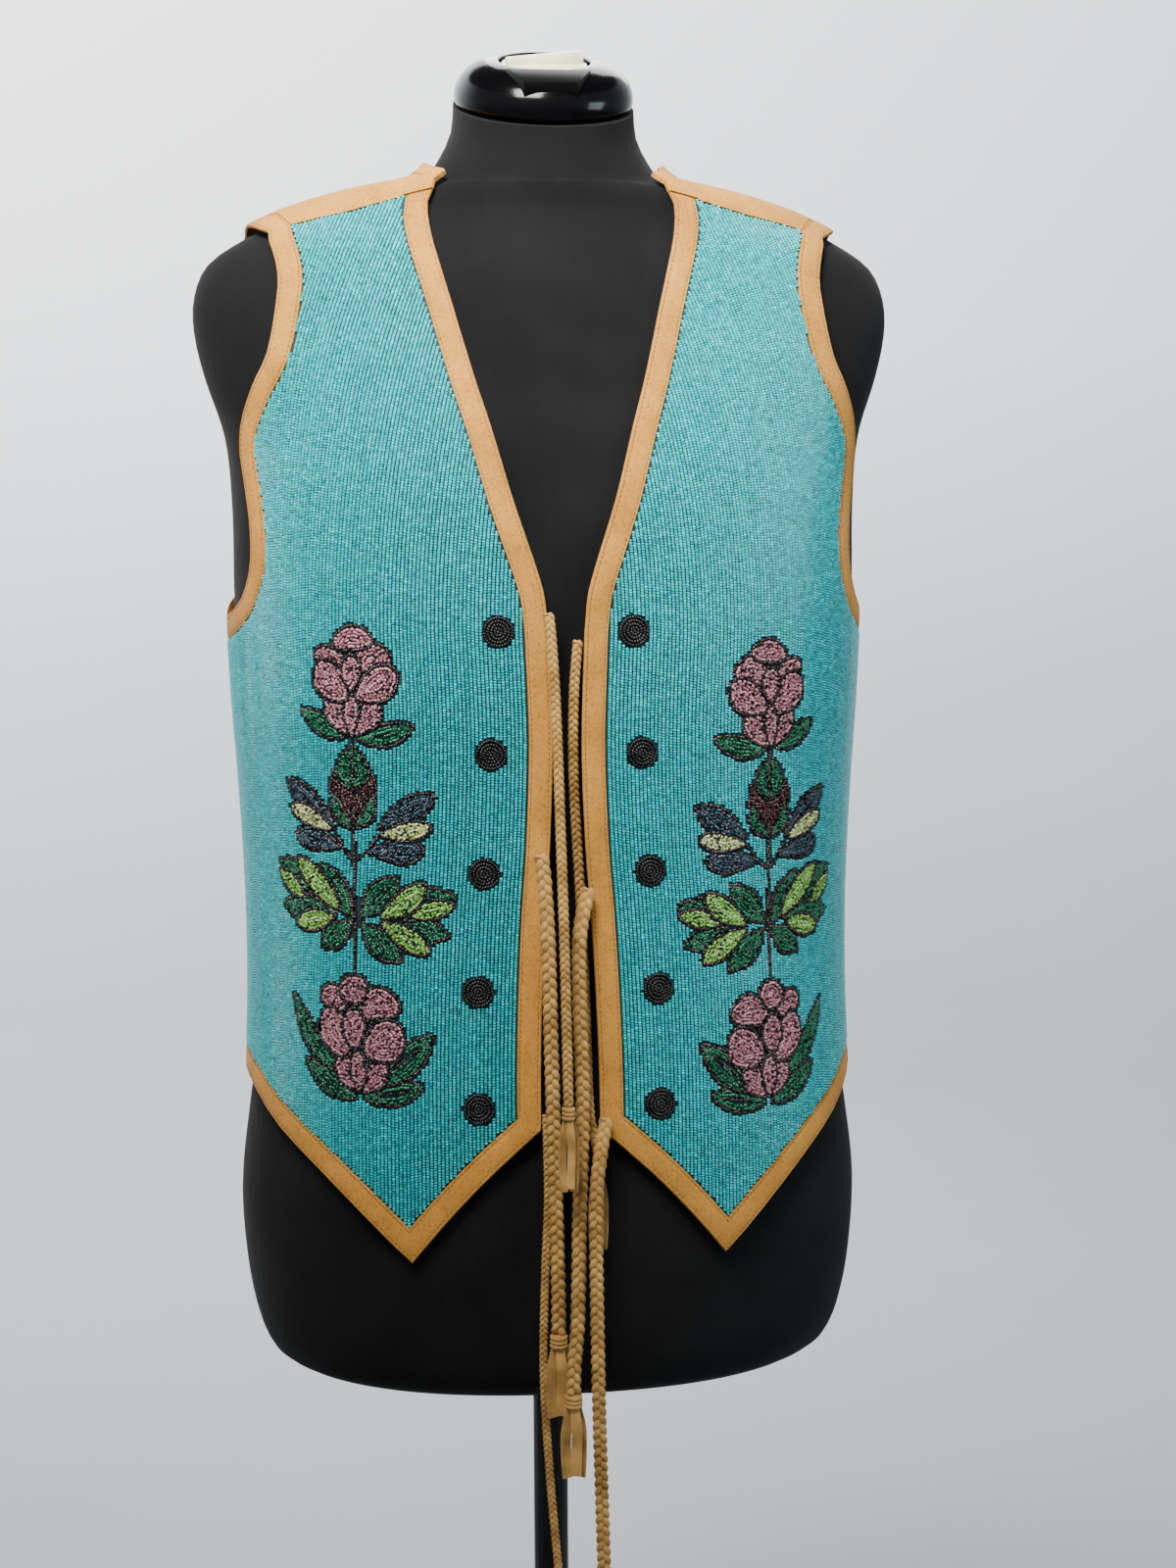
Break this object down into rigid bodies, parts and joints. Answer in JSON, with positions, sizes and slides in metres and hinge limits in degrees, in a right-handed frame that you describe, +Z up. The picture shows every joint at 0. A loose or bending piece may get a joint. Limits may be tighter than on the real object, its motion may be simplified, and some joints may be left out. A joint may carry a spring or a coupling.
{
  "type": "beaded vest on dress form",
  "caption": "Open-fronted beaded leather vest with floral sprays, trim bands, rosettes and leather ties, worn on a limbless dress form with pole and round base.",
  "frame": {"origin": "on the floor, under the middle of the stand's round base", "axes": "+Z up; the wearer faces -Y, so the wearer's left side is at +X"},
  "size_m": [0.41, 0.41, 1.4822],
  "materials": {
    "turquoise_beads": "gloss",
    "motif_beads": "gloss",
    "black_beads": "gloss",
    "tan_suede": "suede",
    "braided_leather": "matt",
    "jersey": "matt",
    "gloss_black": "gloss",
    "cream_plastic": "satin",
    "black_metal": "satin"
  },
  "bodies": {
    "root": {"base": "black_metal", "pole": "black_metal", "torso": "jersey", "neck_cap": "gloss_black", "neck_dial": "cream_plastic", "neck_tab": "gloss_black", "back": "tan_suede", "left_beaded_front": "turquoise_beads", "right_beaded_front": "turquoise_beads", "left_front_band": "tan_suede", "right_front_band": "tan_suede", "left_hem_band": "tan_suede", "right_hem_band": "tan_suede", "left_armhole_band": "tan_suede", "right_armhole_band": "tan_suede", "left_shoulder_strip": "tan_suede", "right_shoulder_strip": "tan_suede", "left_rosette_1": "black_beads", "left_rosette_2": "black_beads", "left_rosette_3": "black_beads", "left_rosette_4": "black_beads", "left_rosette_5": "black_beads", "right_rosette_1": "black_beads", "right_rosette_2": "black_beads", "right_rosette_3": "black_beads", "right_rosette_4": "black_beads", "right_rosette_5": "black_beads", "tie_upper_right": "braided_leather", "tie_upper_left": "braided_leather", "tie_middle_right": "braided_leather", "tie_middle_left": "braided_leather", "tie_lower_right": "braided_leather", "tie_lower_left": "braided_leather", "tassel_upper_right": "braided_leather", "tassel_upper_left": "braided_leather", "tassel_middle_right": "braided_leather", "tassel_middle_left": "braided_leather", "tassel_lower_right": "braided_leather", "tassel_lower_left": "braided_leather"}
  },
  "joints": []
}
